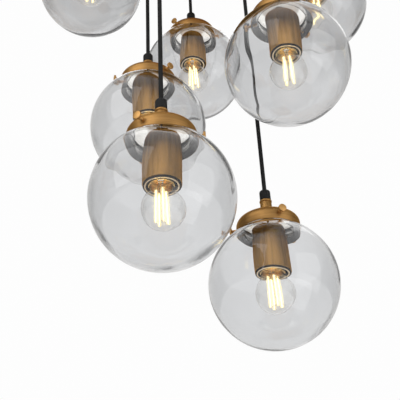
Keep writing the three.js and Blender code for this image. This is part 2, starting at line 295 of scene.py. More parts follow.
brownPlastic = mouldedPlastic("brownPlastic", (0.030, 0.018, 0.011, 1), (0.058, 0.037, 0.023, 1), 0.6)
blackPlastic = mouldedPlastic("blackPlastic", (0.009, 0.009, 0.009, 1), (0.019, 0.019, 0.019, 1), 0.6)
whitePlastic = mouldedPlastic("whitePlastic", (0.72, 0.71, 0.68, 1), (0.82, 0.81, 0.78, 1), 0.4)


sheathValues = {"low": (0.010, 0.010, 0.010, 1), "high": (0.022, 0.022, 0.022, 1), "roughness": 0.6}


def cordSheath():
    material, start = newMaterial("cordSheath")
    along = start.noise((700, 700, 25), 1.0, 3.0)
    clouds = start.noise((1, 1, 1), 120.0, 2.0)
    return finishMaterial(material, start, {
        "Base Color": clouds.mix(sheathValues["low"], sheathValues["high"]),
        "Roughness": along * 0.2 + sheathValues["roughness"],
        "Specular IOR Level": 0.1,
        "Normal": along.bump(0.2, 0.0003),
    })


sheathBlack = cordSheath()


# clear glass: its colour where it is faced and at its edges
glassValues = {
    "globeFace": (0.915, 0.917, 0.920, 1),
    "globeEdge": (0.86, 0.863, 0.868, 1),
    "bulbFace": (0.99, 0.99, 0.985, 1),
    "bulbEdge": (0.93, 0.93, 0.92, 1),
    "neckFace": (0.985, 0.985, 0.985, 1),
    "neckEdge": (0.93, 0.935, 0.94, 1),
    "stemFace": (0.97, 0.95, 0.92, 1),
    "stemEdge": (0.85, 0.83, 0.80, 1),
    "shadow": (0.93, 0.935, 0.94, 1),
    "ior": 1.5,
    "edgeBlend": 0.35,
    "edgePower": 3.0,
    "edgeShare": 0.7,
    "seedShare": 0.10,
}


def clearGlass(name, kind, ripple):
    material, start = newMaterial(name)
    tilt = start.node("ShaderNodeLayerWeight", None, {"Blend": glassValues["edgeBlend"]}, "Facing")
    seeds = start.noise((1, 1, 1), 35.0, 2.0)
    waves = start.noise((1, 1, 0.45), 24.0, 1.0)
    edge = (tilt ** glassValues["edgePower"]) * glassValues["edgeShare"]
    share = (edge + seeds * glassValues["seedShare"]).clamped()
    through = start.node("ShaderNodeBsdfTransparent", None, {"Color": glassValues["shadow"]})
    return finishMaterial(material, start, {
        "Base Color": share.mix(glassValues[kind + "Face"], glassValues[kind + "Edge"]),
        "Roughness": 0.0,
        "IOR": glassValues["ior"],
        "Transmission Weight": 1.0,
        "Normal": waves.bump(ripple, 0.004),
    }, through, start.ray("Is Shadow Ray"))


globeGlass = clearGlass("globeGlass", "globe", 0.2)
neckGlass = clearGlass("neckGlass", "neck", 0.25)
bulbGlass = clearGlass("bulbGlass", "bulb", 0.03)
stemGlass = clearGlass("stemGlass", "stem", 0.02)


# metals of the lamps and fixings, and the lit filaments
def lampMetal(name, low, high):
    material, start = newMaterial(name)
    clouds = start.noise((1, 1, 1), 140.0, 4.0)
    rings = start.noise((10, 10, 900), 1.0, 2.0)
    return finishMaterial(material, start, {
        "Base Color": ((clouds - 0.5) * 1.6 + (rings - 0.5) * 1.2 + 0.5).clamped().mix(low, high),
        "Metallic": 1.0,
        "Roughness": clouds * 0.18 + rings * 0.1 + 0.16,
        "Normal": (rings + clouds * 0.6).bump(0.25, 0.0005),
    })


capMetal = lampMetal("capMetal", (0.78, 0.44, 0.13, 1), (1.0, 0.80, 0.38, 1))
shellMetal = lampMetal("shellMetal", (0.55, 0.36, 0.16, 1), (0.80, 0.60, 0.33, 1))
zincSteel = lampMetal("zincSteel", (0.42, 0.43, 0.45, 1), (0.66, 0.67, 0.69, 1))
wireMetal = lampMetal("wireMetal", (0.50, 0.46, 0.40, 1), (0.75, 0.70, 0.62, 1))
ringMetal = lampMetal("ringMetal", (0.62, 0.47, 0.30, 1), (0.95, 0.78, 0.55, 1))

filamentValues = {
    "core": (1.0, 0.89, 0.54, 1), "edge": (1.0, 0.80, 0.34, 1), "strength": 3.1,
    "coatAndHalo": (1.0, 0.91, 0.56, 1), "coatAndHaloDeep": (1.0, 0.86, 0.50, 1), "coatAndHaloStrength": 1.05, "coatAndHaloAlpha": 0.24,
}


def litFilament():
    material, start = newMaterial("litFilament")
    beads = start.noise((1, 1, 1), 900.0, 1.0)
    colour = beads.mix(filamentValues["edge"], filamentValues["core"])
    return finishMaterial(material, start, {
        "Base Color": colour,
        "Roughness": 0.6,
        "Emission Color": colour,
        "Emission Strength": filamentValues["strength"],
    })


filamentGlow = litFilament()


def phosphorCoatAndHalo():  # the soft yellowish coat round each filament, partly its phosphor coat and partly painted light: a glowing halo round the lit filament
    material, start = newMaterial("phosphorCoatAndHalo")
    grain = start.noise((1, 1, 1), 700.0, 2.0)
    colour = grain.mix(filamentValues["coatAndHaloDeep"], filamentValues["coatAndHalo"])
    return finishMaterial(material, start, {
        "Base Color": colour,
        "Roughness": 0.8,
        "Alpha": filamentValues["coatAndHaloAlpha"],
        "Specular IOR Level": 0.0,
        "Emission Color": colour,
        "Emission Strength": filamentValues["coatAndHaloStrength"],
    })


coatAndPaintedHalo = phosphorCoatAndHalo()
print("materials made")


# shaping tools
def pointsOf(parts):
    return [part for part in parts if isinstance(part, bmesh.types.BMVert)]


def roundEdges(shape, edges, size, parts=2):
    bmesh.ops.bevel(shape, geom=edges, offset=size, affect="EDGES", segments=parts, profile=0.5, material=-1)


def ringSpread(edge):  # how much nearer to the axis one end of an edge is than the other
    return abs(edge.verts[0].co.xy.length - edge.verts[1].co.xy.length)


def roundRim(shape, height, size, parts=2):  # rounds the rings of edges that lie at a height
    near = 0.01
    level = [edge for edge in shape.edges if all(abs(point.co.z - height) < near for point in edge.verts)]
    roundEdges(shape, [edge for edge in level if ringSpread(edge) < near], size, parts)


def creases(shape):
    return [edge for edge in shape.edges if edge.calc_face_angle(0) > math.radians(creaseTurn)]


class Outline:
    # a line through (radius, height) points in millimetres, which is then spun round the upright axis
    def __init__(self, radius, height):
        self.shape = bmesh.new()
        self.end = self.shape.verts.new((radius, 0, height))
        self.first = self.end
        self.corners = []

    def line(self, radius, height, corner=0.0, parts=4):  # corner is the size of the round at the new end
        made = bmesh.ops.extrude_vert_indiv(self.shape, verts=[self.end])
        self.end = made["verts"][0]
        self.end.co = (radius, 0, height)
        if corner:
            self.corners.append((self.end, corner, parts))

    def arc(self, radius, height, angle, steps):  # turns the end round a centre, counterclockwise if plus
        made = bmesh.ops.spin(
            self.shape, geom=[self.end], cent=(radius, 0, height), axis=(0, -1, 0),
            angle=math.radians(angle), steps=steps, use_merge=False,
        )
        self.end = pointsOf(made["geom_last"])[0]

    def joined(self):
        self.shape.edges.new((self.end, self.first))
        return self

    def spun(self, steps, wall=0.0):
        for point, size, parts in self.corners:
            bmesh.ops.bevel(
                self.shape, geom=[point], offset=size, affect="VERTICES",
                segments=parts, profile=0.5, material=-1,
            )
        bmesh.ops.spin(
            self.shape, geom=self.shape.verts[:] + self.shape.edges[:], cent=(0, 0, 0), axis=(0, 0, 1),
            angle=2 * math.pi, steps=steps, use_merge=True,
        )
        bmesh.ops.remove_doubles(self.shape, verts=self.shape.verts, dist=0.001)
        bmesh.ops.recalc_face_normals(self.shape, faces=self.shape.faces)
        if wall:
            bmesh.ops.solidify(self.shape, geom=self.shape.faces[:], thickness=wall)
        return self.shape


def blockShape(size, centre, edge):
    shape = bmesh.new()
    bmesh.ops.create_cube(shape, size=1.0)
    bmesh.ops.scale(shape, vec=size, verts=shape.verts)
    roundEdges(shape, shape.edges[:], edge)
    bmesh.ops.translate(shape, vec=centre, verts=shape.verts)
    return shape


def addShape(shape, other, matrix=None):  # puts another shape's mesh into a shape
    part = bpy.data.meshes.new("part")
    other.to_mesh(part)
    if matrix is not None:
        part.transform(matrix)
    shape.from_mesh(part)
    bpy.data.meshes.remove(part)


def makePiece(name, shape, body, materials, place=(0, 0, 0), replaces=(), sharp=35, pick=None):
    # writes a shape in millimetres to a piece in metres at its place
    mesh = bpy.data.meshes.new(name)
    for face in shape.faces:
        face.smooth = True
        if pick:
            face.material_index = pick(face)
    for edge in shape.edges:
        edge.smooth = edge.calc_face_angle(0) < math.radians(sharp)
    heights = [point.co.z for point in shape.verts]
    foot, height = min(heights), max(heights) - min(heights)
    shape.to_mesh(mesh)
    rises = [(z - foot) / height for z in heights]
    mesh.attributes.new("rise", "FLOAT", "POINT").data.foreach_set("value", rises)
    mesh.transform(Matrix.Translation(place) @ Matrix.Scale(mm, 4))
    for material in materials:
        mesh.materials.append(material)
    piece = bpy.data.objects.new(name, mesh)
    bpy.context.scene.collection.objects.link(piece)
    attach(piece, body)
    if replaces:
        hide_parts(*replaces)


# cords: each hangs straight from its gland to its grip
cordValues = {"radius": 2.6, "top": -39.0, "bottom": 58.3, "points": 18, "bow": 0.5, "bowTurn": 70}


def makeCord(name, pendant):
    rim = pendant["rim"]
    top = cordValues["top"] * mm
    bottom = rim.z + cordValues["bottom"] * mm
    data = bpy.data.curves.new(f"pendant_cord_{name}", "CURVE")
    data.dimensions = "3D"
    data.bevel_depth = cordValues["radius"] * mm
    data.bevel_resolution = 4
    data.use_fill_caps = True
    spline = data.splines.new("POLY")
    spline.points.add(cordValues["points"] - 1)
    for i, point in enumerate(spline.points):
        share = i / (cordValues["points"] - 1)
        bow = cordValues["bow"] * mm * math.sin(math.pi * share) ** 2
        turn = math.radians(cordValues["bowTurn"] * int(name))
        x, y = rim.x + bow * math.cos(turn), rim.y + bow * math.sin(turn)
        point.co = (x, y, top + (bottom - top) * share, 1)
    piece = bpy.data.objects.new(f"pendant_cord_{name}", data)
    bpy.context.scene.collection.objects.link(piece)
    data.materials.append(sheathBlack)
    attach(piece, pendant["body"])
    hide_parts(f"cord_{name}")


for name, pendant in pendants.items():
    makeCord(name, pendant)
print("cords hung")


# canopy: a shallow spun pan, and a gland in it for each cord
canopyValues = {"radius": 200.0, "depth": 30.0, "wall": 1.5, "corner": 8.0, "rim": 0.5, "steps": 160}


def makeCanopy():
    values = canopyValues
    outline = Outline(0, -values["depth"])
    outline.line(values["radius"], -values["depth"], values["corner"], 10)
    outline.line(values["radius"], 0)
    shape = outline.spun(values["steps"], values["wall"])
    roundRim(shape, 0, values["rim"])
    makePiece("canopy_pan", shape, "canopy", [canopyBrass], replaces=["canopy"])


makeCanopy()

glandValues = {
    "radius": 9.0, "flange": 2.5, "length": 10.0, "body": 6.9, "nose": 4.8, "noseHeight": 2.4, "bore": 2.85,
    "nut": 8.4, "nutHeight": 4.0, "tail": 2.0, "tailStep": 1.0,
    "noseRound": 0.8, "bodyRound": 0.5, "flangeRound": 0.7, "nutRound": 0.5, "tailRound": 0.4,
}


def glandShape():
    values = glandValues
    floor = -canopyValues["depth"]
    nutFoot = floor + canopyValues["wall"]
    nutTop = nutFoot + values["nutHeight"]
    outline = Outline(values["bore"], floor - values["length"])
    outline.line(values["nose"], floor - values["length"], values["noseRound"], 3)
    outline.line(values["body"], floor - values["length"] + values["noseHeight"], values["noseRound"], 3)
    outline.line(values["body"], floor - values["flange"], values["bodyRound"], 2)
    outline.line(values["radius"], floor - values["flange"], values["flangeRound"], 3)
    outline.line(values["radius"], floor)
    outline.line(values["body"], floor)
    outline.line(values["body"], nutFoot)
    outline.line(values["nut"], nutFoot, values["nutRound"], 2)
    outline.line(values["nut"], nutTop, values["nutRound"], 2)
    outline.line(values["body"] - values["tailStep"], nutTop)
    outline.line(values["body"] - values["tailStep"], nutTop + values["tail"], values["tailRound"], 2)
    outline.line(values["bore"], nutTop + values["tail"])
    return outline.joined().spun(40)


for name, pendant in pendants.items():
    makePiece(
        f"canopy_gland_{name}", glandShape(), "canopy", [blackPlastic],
        (pendant["rim"].x, pendant["rim"].y, 0),
    )
print("canopy and glands made")


# ceiling bracket with slots and bushes, studs with cap nuts, terminal block
bracketValues = {
    "length": 270.0, "width": 36.0, "thickness": 2.5, "slot": (14.0, 5.5), "slotSpacing": 150.0,
    "edge": 0.35, "bushSpacing": 240.0, "bush": 5.0, "bushDepth": 6.0, "bushRound": 0.6,
    "stud": 2.0, "studPoint": 0.4, "threads": 9, "threadDepth": 0.3, "threadEnd": 1.0,
    "capNut": 6.0, "capNutHeight": 6.0, "crownShare": 0.55, "sideShare": 0.45,
    "crownRound": 2.6, "shoulderRound": 1.4, "seatRound": 0.4,
}


def roundEnded(length, width, steps):  # a flat face with round ends, along Y
    shape = bmesh.new()
    straight = (length - width) / 2
    start = shape.verts.new((width / 2, straight, 0))
    ends = [start]
    for middle in (straight, -straight):
        made = bmesh.ops.spin(
            shape, geom=[ends[-1]], cent=(0, middle, 0), axis=(0, 0, 1), angle=math.pi, steps=steps,
            use_merge=False,
        )
        last = pointsOf(made["geom_last"])[0]
        if middle > 0:
            dropped = bmesh.ops.extrude_vert_indiv(shape, verts=[last])["verts"][0]
            dropped.co.y = -straight
            ends.append(dropped)
        else:
            ends.append(last)
    shape.edges.new((ends[-1], start))
    return shape


def bracketShape():
    values = bracketValues
    shape = roundEnded(values["length"], values["width"], 16)
    for side in (-1, 1):
        hole = roundEnded(*values["slot"], 8)
        addShape(shape, hole, Matrix.Translation((0, side * values["slotSpacing"] / 2, 0)))
        bmesh.ops.create_circle(
            shape, segments=24, radius=values["stud"] + gap,
            matrix=Matrix.Translation((0, side * values["bushSpacing"] / 2, 0)),
        )
    bmesh.ops.triangle_fill(shape, edges=shape.edges[:], use_beauty=True)
    bmesh.ops.recalc_face_normals(shape, faces=shape.faces)
    if shape.faces[0].normal.z < 0:
        bmesh.ops.reverse_faces(shape, faces=shape.faces[:])
    made = bmesh.ops.extrude_face_region(shape, geom=shape.faces[:], use_keep_orig=True)
    bmesh.ops.translate(shape, vec=(0, 0, -values["thickness"]), verts=pointsOf(made["geom"]))
    bmesh.ops.recalc_face_normals(shape, faces=shape.faces)
    roundEdges(shape, creases(shape), values["edge"])
    return shape


def bushShape():
    values = bracketValues
    top = -values["thickness"]
    outline = Outline(values["stud"] + gap, top - values["bushDepth"])
    outline.line(values["bush"], top - values["bushDepth"], values["bushRound"], 3)
    outline.line(values["bush"], top)
    outline.line(values["stud"] + gap, top)
    return outline.joined().spun(32)


def capNutShape(seat):  # a domed nut, with its stud up to the bracket
    values = bracketValues
    foot = seat - values["capNutHeight"]
    side = seat - values["capNutHeight"] * values["sideShare"]
    outline = Outline(0, foot)
    outline.line(values["capNut"] * values["crownShare"], foot, values["crownRound"], 6)
    outline.line(values["capNut"], side, values["shoulderRound"], 4)
    outline.line(values["capNut"], seat, values["seatRound"], 2)
    outline.line(values["stud"], seat)
    pitch = (-values["thickness"] - seat - values["threadEnd"]) / values["threads"]
    for turn in range(values["threads"]):
        outline.line(values["stud"] - values["threadDepth"], seat + pitch * (turn + 0.5))
        outline.line(values["stud"], seat + pitch * (turn + 1))
    outline.line(values["stud"] - values["studPoint"], -values["thickness"] / 2)
    outline.line(0, -values["thickness"] / 2)
    return outline.spun(32)


def makeFixings():
    values = bracketValues
    shape = bracketShape()
    for side in (-1, 1):
        addShape(shape, bushShape(), Matrix.Translation((0, side * values["bushSpacing"] / 2, 0)))
    makePiece("ceiling_bar", shape, "canopy", [zincSteel], replaces=["ceiling_bracket"])
    seat = -canopyValues["depth"] - gap
    for number, side in enumerate((-1, 1), 1):
        makePiece(
            f"cap_nut_{number}", capNutShape(seat), "canopy", [canopyBrass],
            (0, side * values["bushSpacing"] / 2 * mm, 0), [f"canopy_screw_{number}"],
        )


makeFixings()

blockValues = {
    "length": 62.0, "width": 24.0, "height": 17.0, "poles": 5, "notch": 2.4, "offset": 30.0, "top": -2.8,
    "ledge": 4.0, "spineRise": 3.0, "spineShare": 0.5, "spineRound": 0.6, "poleRound": 0.8,
    "well": 3.3, "wellWall": 0.7, "wellDepth": 1.6, "wellSpacing": 8.4,
    "wellRoundIn": 0.2, "wellRoundOut": 0.3,
    "screw": 2.3, "screwRound": 0.3, "screwShare": 0.6, "slot": 0.7, "slotDepth": 0.6, "slotTurn": 0.5,
}


def wellShape():  # the raised ring round a terminal's screw
    values = blockValues
    foot = -values["wellDepth"]
    outline = Outline(values["well"] - values["wellWall"], 0)
    outline.line(values["well"] - values["wellWall"], foot, values["wellRoundIn"], 2)
    outline.line(values["well"], foot, values["wellRoundOut"], 3)
    outline.line(values["well"], 0)
    return outline.spun(24)


def slottedShape():
    values = blockValues
    face = -values["wellDepth"] * values["screwShare"]
    outline = Outline(0, face)
    outline.line(values["screw"], face, values["screwRound"], 3)
    outline.line(values["screw"], 0)
    shape = outline.spun(24)
    for side in (-1, 1):
        bmesh.ops.bisect_plane(
            shape, geom=shape.verts[:] + shape.edges[:] + shape.faces[:],
            plane_co=(side * values["slot"] / 2, 0, 0), plane_no=(1, 0, 0),
        )
    flat = [face for face in shape.faces if face.normal.z < -0.99]
    slot = [face for face in flat if abs(face.calc_center_median().x) < values["slot"] / 2]
    made = bmesh.ops.extrude_face_region(shape, geom=slot)
    bmesh.ops.translate(shape, vec=(0, 0, values["slotDepth"]), verts=pointsOf(made["geom"]))
    bmesh.ops.delete(shape, geom=slot, context="FACES")
    return shape


def makeTerminalBlock():
    values = blockValues
    pitch = values["length"] / values["poles"]
    screws = bmesh.new()
    spine = values["height"] - values["spineRise"]
    depth = values["height"] - values["wellDepth"]
    shape = blockShape(
        (values["width"] * values["spineShare"], values["length"], spine),
        (0, -values["offset"], values["top"] - spine / 2), values["spineRound"],
    )
    for pole in range(values["poles"]):
        middle = -values["offset"] + (pole - (values["poles"] - 1) / 2) * pitch
        body = blockShape(
            (values["width"], pitch - values["notch"], values["height"] / 2),
            (0, middle, values["top"] - values["height"] / 4), values["poleRound"],
        )
        addShape(shape, body)
        lower = blockShape(
            (values["width"] - 2 * values["ledge"], pitch - values["notch"], depth),
            (0, middle, values["top"] - depth / 2), values["poleRound"],
        )
        addShape(shape, lower)
        for side in (-1, 1):
            place = Matrix.Translation((side * values["wellSpacing"] / 2, middle, values["top"] - depth))
            addShape(shape, wellShape(), place)
            turned = place @ Matrix.Rotation(values["slotTurn"] + pole * side, 4, "Z")
            addShape(screws, slottedShape(), turned)
    makePiece(
        "wire_terminals", shape, "canopy", [whitePlastic], replaces=["terminal_block"]
    )
    makePiece("terminal_screws", screws, "canopy", [zincSteel])


makeTerminalBlock()
print("ceiling fixings made")


# galleries, grips and thumbscrews: heights are from the gallery's rim
galleryValues = {
    "radius": 38.0, "wall": 1.2, "rim": 0.35, "steps": 96, "height": 45.0, "topRound": 1.0, "bore": 4.8,
    "shoulderHeight": 17.0, "shoulderRound": 7.2, "shoulderRise": 1.6, "footHeight": 23.0, "footRound": 3.4,
    "collar": 7.0, "groove": 6.4, "grooveHeight": 41.4, "grooveSlope": 0.3, "grooveRound": 0.3,
    "ring": 7.5, "ringHeight": 42.3, "ringRound": 0.9,
    "liningIn": 8.0, "liningOut": 31.0, "liningHeight": 10.5, "insideTop": 28.0,
}


def galleryShape():
    values = galleryValues
    outline = Outline(values["radius"], 0)
    outline.line(values["radius"], values["shoulderHeight"], values["shoulderRound"], 10)
    outline.line(values["liningOut"], values["shoulderHeight"] + values["shoulderRise"])
    outline.line(values["collar"], values["footHeight"], values["footRound"], 6)
    outline.line(values["collar"], values["grooveHeight"], values["grooveRound"], 2)
    outline.line(values["groove"], values["grooveHeight"] + values["grooveSlope"])
    outline.line(values["groove"], values["ringHeight"])
    outline.line(values["ring"], values["ringHeight"], values["ringRound"], 5)
    outline.line(values["ring"], values["height"], values["topRound"], 5)
    outline.line(values["bore"] + values["wall"], values["height"])
    shape = outline.spun(values["steps"], values["wall"])
    roundRim(shape, 0, values["rim"])
    return shape


def galleryFinish(face):  # inside, the skirt takes the near-black painted shade and the roof over the globe's neck the pale plating with painted light
    middle = face.calc_center_median()
    values = galleryValues
    inward = face.normal.x * middle.x + face.normal.y * middle.y < 0 or face.normal.z < -0.4
    if not inward or middle.xy.length > values["radius"] - 0.5 or middle.z > values["insideTop"]:
        return 0
    over = values["liningIn"] < middle.xy.length < values["liningOut"]
    return 2 if over and middle.z > values["liningHeight"] and face.normal.z < -0.5 else 1


gripValues = {
    "radius": 6.7, "length": 14.0, "hole": 2.7, "foot": 45.3, "footStep": 0.5, "footRise": 1.2,
    "nose": 2.2, "noseDrop": 1.6, "footRound": 0.3, "sideRound": 0.5, "shoulderRound": 1.2, "noseRound": 0.7,
}


def gripShape():
    values = gripValues
    top = values["foot"] + values["length"]
    outline = Outline(values["hole"], values["foot"])
    outline.line(values["radius"] - values["footStep"], values["foot"], values["footRound"], 2)
    outline.line(values["radius"], values["foot"] + values["footRise"], values["sideRound"], 3)
    outline.line(values["radius"], top - values["noseDrop"], values["shoulderRound"], 5)
    outline.line(values["radius"] - values["nose"], top, values["noseRound"], 4)
    outline.line(values["hole"], top)
    return outline.joined().spun(48)


screwValues = {
    "shaft": 2.0, "head": 4.7, "headDepth": 2.6, "tip": 32.6, "face": 46.6, "height": 9.5,
    "knurls": 30, "knurlDepth": 0.16, "knurlBand": 0.3, "threads": 7, "threadDepth": 0.25,
    "point": 0.5, "pointLength": 0.6, "plainLength": 1.5, "flare": 0.9, "flareLength": 0.8,
    "backRound": 0.35, "faceRound": 0.45,
}


def screwShape():
    values = screwValues
    back = values["face"] - values["headDepth"]
    outline = Outline(0, values["tip"])
    outline.line(values["shaft"] - values["point"], values["tip"])
    first = values["tip"] + values["pointLength"]
    pitch = (back - values["plainLength"] - values["tip"] - values["pointLength"]) / values["threads"]
    for turn in range(values["threads"]):
        outline.line(values["shaft"], first + pitch * (turn + 0.5))
        outline.line(values["shaft"] - values["threadDepth"], first + pitch * (turn + 1))
    outline.line(values["shaft"], back - values["flareLength"])
    outline.line(values["shaft"] + values["flare"], back)
    outline.line(values["head"], back, values["backRound"], 2)
    outline.line(values["head"], values["face"], values["faceRound"], 3)
    outline.line(0, values["face"])
    shape = outline.spun(2 * values["knurls"])
    for point in shape.verts:
        turn = math.degrees(math.atan2(point.co.y, point.co.x)) % 360
        notch = round(turn / (180 / values["knurls"])) % 2
        if notch and point.co.xy.length > values["head"] - values["knurlBand"]:
            point.co.xy *= 1 - values["knurlDepth"] / values["head"]
    # laid along +X at its height
    bmesh.ops.rotate(shape, cent=(0, 0, 0), matrix=Matrix.Rotation(math.pi / 2, 3, "Y"), verts=shape.verts)
    bmesh.ops.translate(shape, vec=(0, 0, values["height"]), verts=shape.verts)
    return shape


for name, pendant in pendants.items():
    rim = pendant["rim"]
    makePiece(
        f"spun_gallery_{name}", galleryShape(), pendant["body"], [galleryBrass, paintedShadeMetal, liningWithPaintedLight],
        rim, [f"gallery_{name}"], pick=galleryFinish,
    )
    makePiece(
        f"clamp_grip_{name}", gripShape(), pendant["body"], [blackPlastic], rim, [f"cord_grip_{name}"],
    )
    for i, letter in enumerate("abc"):
        shape = screwShape()
        turn = Matrix.Rotation(math.radians(pendant["screws"] + 120 * i), 3, "Z")
        bmesh.ops.rotate(shape, cent=(0, 0, 0), matrix=turn, verts=shape.verts)
        node = f"thumbscrew_{name}{letter}"
        body, replaced = (node, [node]) if pendant["loose"] else (pendant["body"], ())
        makePiece(f"knurled_screw_{name}{letter}", shape, body, [screwBrass], rim, replaced)
print("galleries, grips and thumbscrews made")


# lampholders: brass sleeve, black insert, threaded shell
holderValues = {
    "radius": 20.1, "wall": 1.2, "rim": 0.45, "reach": 50.0, "top": 10.0, "corner": 4.0, "nipple": 4.5,
    "nippleTop": 34.0, "coneTop": 15.0, "insert": 18.8, "lip": 1.8, "lipRadius": 19.5, "bore": 14.4,
    "insertTop": -19.5, "socketRoof": 2.5, "ringOut": 17.9, "ringIn": 16.2, "ringDrop": 0.6,
    "shell": 14.15, "shellWall": 0.25, "shellDepth": 24.0, "shellRise": 0.5,
    "threads": 6, "threadDepth": 0.45, "coneEnd": 2.0, "coneStep": 1.0, "coneRound": 1.5, "nippleRound": 0.4,
    "boreSlope": 0.6, "lipTop": 0.25, "lipRound": 0.4, "ringRound": 0.6,
}


def sleeveShape():
    values = holderValues
    outline = Outline(values["radius"], -values["reach"])
    outline.line(values["radius"], values["top"], values["corner"], 6)
    outline.line(values["nipple"] + values["coneEnd"], values["coneTop"], values["coneRound"], 3)
    outline.line(values["nipple"], values["coneTop"] + values["coneStep"], values["nippleRound"], 2)
    outline.line(values["nipple"], values["nippleTop"])
    shape = outline.spun(80, values["wall"])
    roundRim(shape, -values["reach"], values["rim"], 3)
    return shape


def insertShape():
    values = holderValues
    bottom = -values["reach"] - values["lip"]
    outline = Outline(values["bore"], bottom + values["boreSlope"])
    outline.line(values["ringIn"], bottom)
    outline.line(values["ringIn"], bottom - values["ringDrop"], values["ringRound"], 4)
    outline.line(values["ringOut"], bottom - values["ringDrop"], values["ringRound"], 4)
    outline.line(values["ringOut"], bottom)
    outline.line(values["lipRadius"], bottom, values["lipRound"], 3)
    outline.line(values["lipRadius"], -values["reach"] - values["lipTop"])
    outline.line(values["insert"], -values["reach"] - values["lipTop"])
    outline.line(values["insert"], values["insertTop"])
    outline.line(0, values["insertTop"])
    outline.line(0, values["insertTop"] - values["socketRoof"])
    outline.line(values["bore"], values["insertTop"] - values["socketRoof"])
    return outline.joined().spun(64)


def insertFinish(face):  # the bright ring round the lamp's cap
    middle = face.calc_center_median()
    values = holderValues
    low = middle.z < -values["reach"] - values["lip"] - 0.01
    return 1 if low and values["ringIn"] - 0.1 < middle.xy.length < values["ringOut"] + 0.1 else 0


threadRoundShare = 0.2  # of the threads' pitch


def addThreads(outline, radius, depth, bottom, top, threads):
    pitch = (top - bottom) / threads
    for turn in range(threads):
        outline.line(radius - depth, bottom + pitch * (turn + 0.5), pitch * threadRoundShare, 2)
        outline.line(radius, bottom + pitch * (turn + 1), pitch * threadRoundShare, 2)


def shellShape():
    values = holderValues
    bottom = -values["reach"] + values["shellRise"]
    outline = Outline(values["shell"], bottom)
    top = bottom + values["shellDepth"]
    addThreads(outline, values["shell"], values["threadDepth"], bottom, top, values["threads"])
    return outline.spun(56, values["shellWall"])


for name, pendant in pendants.items():
    rim = pendant["rim"]
    makePiece(
        f"holder_sleeve_{name}", sleeveShape(), pendant["body"], [holderBrass], rim, [f"lampholder_{name}"],
    )
    makePiece(
        f"holder_insert_{name}", insertShape(), pendant["body"], [brownPlastic, ringMetal], rim,
        pick=insertFinish,
    )
    makePiece(f"holder_shell_{name}", shellShape(), pendant["body"], [shellMetal], rim)
print("lampholders made")


# lamps: clear bulb, threaded cap, glass stem and four lit filaments
lampValues = {
    "radius": 22.5, "centre": -78.15, "wall": 0.6, "bulbArc": 132,
    "neck": 12.2, "neckTop": -44.5, "neckDrop": 2.0, "neckRound": 4.0,
    "cap": 13.3, "capBottom": -51.5, "capTop": -23.4, "skirt": 12.5, "cup": -43.5,
    "button": 4.6, "buttonHeight": 2.0, "threads": 5, "threadDepth": 0.75,
    "stem": 1.5, "stemFoot": 3.4, "stemEnd": -60.0, "stemRound": 0.9,
    "flareHeight": 7.0, "flareRound": 2.5, "footRound": 0.2,
    "filaments": 4, "filament": 0.7, "coatAndHalo": 2.3, "filamentLow": -94.2, "filamentHigh": -56.5,
    "spreadLow": 6.4, "spreadHigh": 5.2, "wire": 0.28, "wireRise": 3.0, "wireOverlap": 0.2,
    "headShare": 0.2, "headRise": 7.0, "post": 0.45, "postDepth": 1.0,
}
capValues = {  # the threaded cap's own small sizes
    "rimRound": 0.25, "band": 3.5, "bandRound": 0.6, "bandStep": 0.3, "threadFrom": 4.5, "threadTo": 4.0,
    "threadStep": 0.05, "shoulder": 3.0, "shoulderDrop": 0.6, "shoulderRound": 0.8, "buttonFoot": 0.3,
    "buttonDome": 0.7, "buttonRound": 0.5,
}


def bulbShape():
    values = lampValues
    outline = Outline(0, values["centre"] - values["radius"])
    outline.arc(0, values["centre"], values["bulbArc"], 36)
    outline.line(values["neck"], values["capBottom"] - values["neckDrop"], values["neckRound"], 5)
    outline.line(values["neck"], values["neckTop"])
    return outline.spun(72, values["wall"])


def capShape():
    values = lampValues
    small = capValues
    outline = Outline(values["skirt"], values["cup"])
    outline.line(values["skirt"], values["capBottom"])
    outline.line(values["cap"], values["capBottom"], small["rimRound"], 2)
    outline.line(values["cap"], values["capBottom"] + small["band"], small["bandRound"], 3)
    bottom = values["capBottom"] + small["threadFrom"]
    buttonFoot = values["capTop"] - values["buttonHeight"]
    top = buttonFoot - small["threadTo"]
    outline.line(values["cap"] - small["bandStep"], bottom)
    crest = values["cap"] - small["threadStep"]
    addThreads(outline, crest, values["threadDepth"], bottom, top, values["threads"])
    shoulder = values["button"] + small["shoulder"]
    outline.line(shoulder, buttonFoot - small["shoulderDrop"], small["shoulderRound"], 3)
    outline.line(values["button"], buttonFoot, small["buttonFoot"], 2)
    outline.line(values["button"], values["capTop"] - small["buttonDome"], small["buttonRound"], 3)
    outline.line(0, values["capTop"])
    outline.line(0, values["cup"])
    return outline.joined().spun(56)


def capFinish(face):  # the dark glass insulator round the contact
    middle = face.calc_center_median()
    values = lampValues
    ring = values["button"] + 0.1 < middle.xy.length < values["cap"] - 1.6
    return 1 if ring and middle.z > values["cup"] + 8 else 0


def stemShape():
    values = lampValues
    outline = Outline(0, values["stemEnd"])
    outline.line(values["stem"], values["stemEnd"], values["stemRound"], 4)
    outline.line(values["stem"], values["cup"] - values["flareHeight"], values["flareRound"], 5)
    outline.line(values["stemFoot"], values["cup"] - gap, values["footRound"], 2)
    outline.line(0, values["cup"] - gap)
    return outline.spun(32)


rodRoundShare = 0.4  # of a rod's radius


def rodShape(start, end, radius, sides):  # a round rod between two points
    span = end - start
    turned = span.to_track_quat("Z", "Y").to_matrix().to_4x4()
    shape = bmesh.new()
    bmesh.ops.create_cone(
        shape, cap_ends=True, segments=sides, radius1=radius, radius2=radius, depth=span.length,
        matrix=Matrix.Translation((start + end) / 2) @ turned,
    )
    roundEdges(shape, creases(shape), radius * rodRoundShare)
    return shape


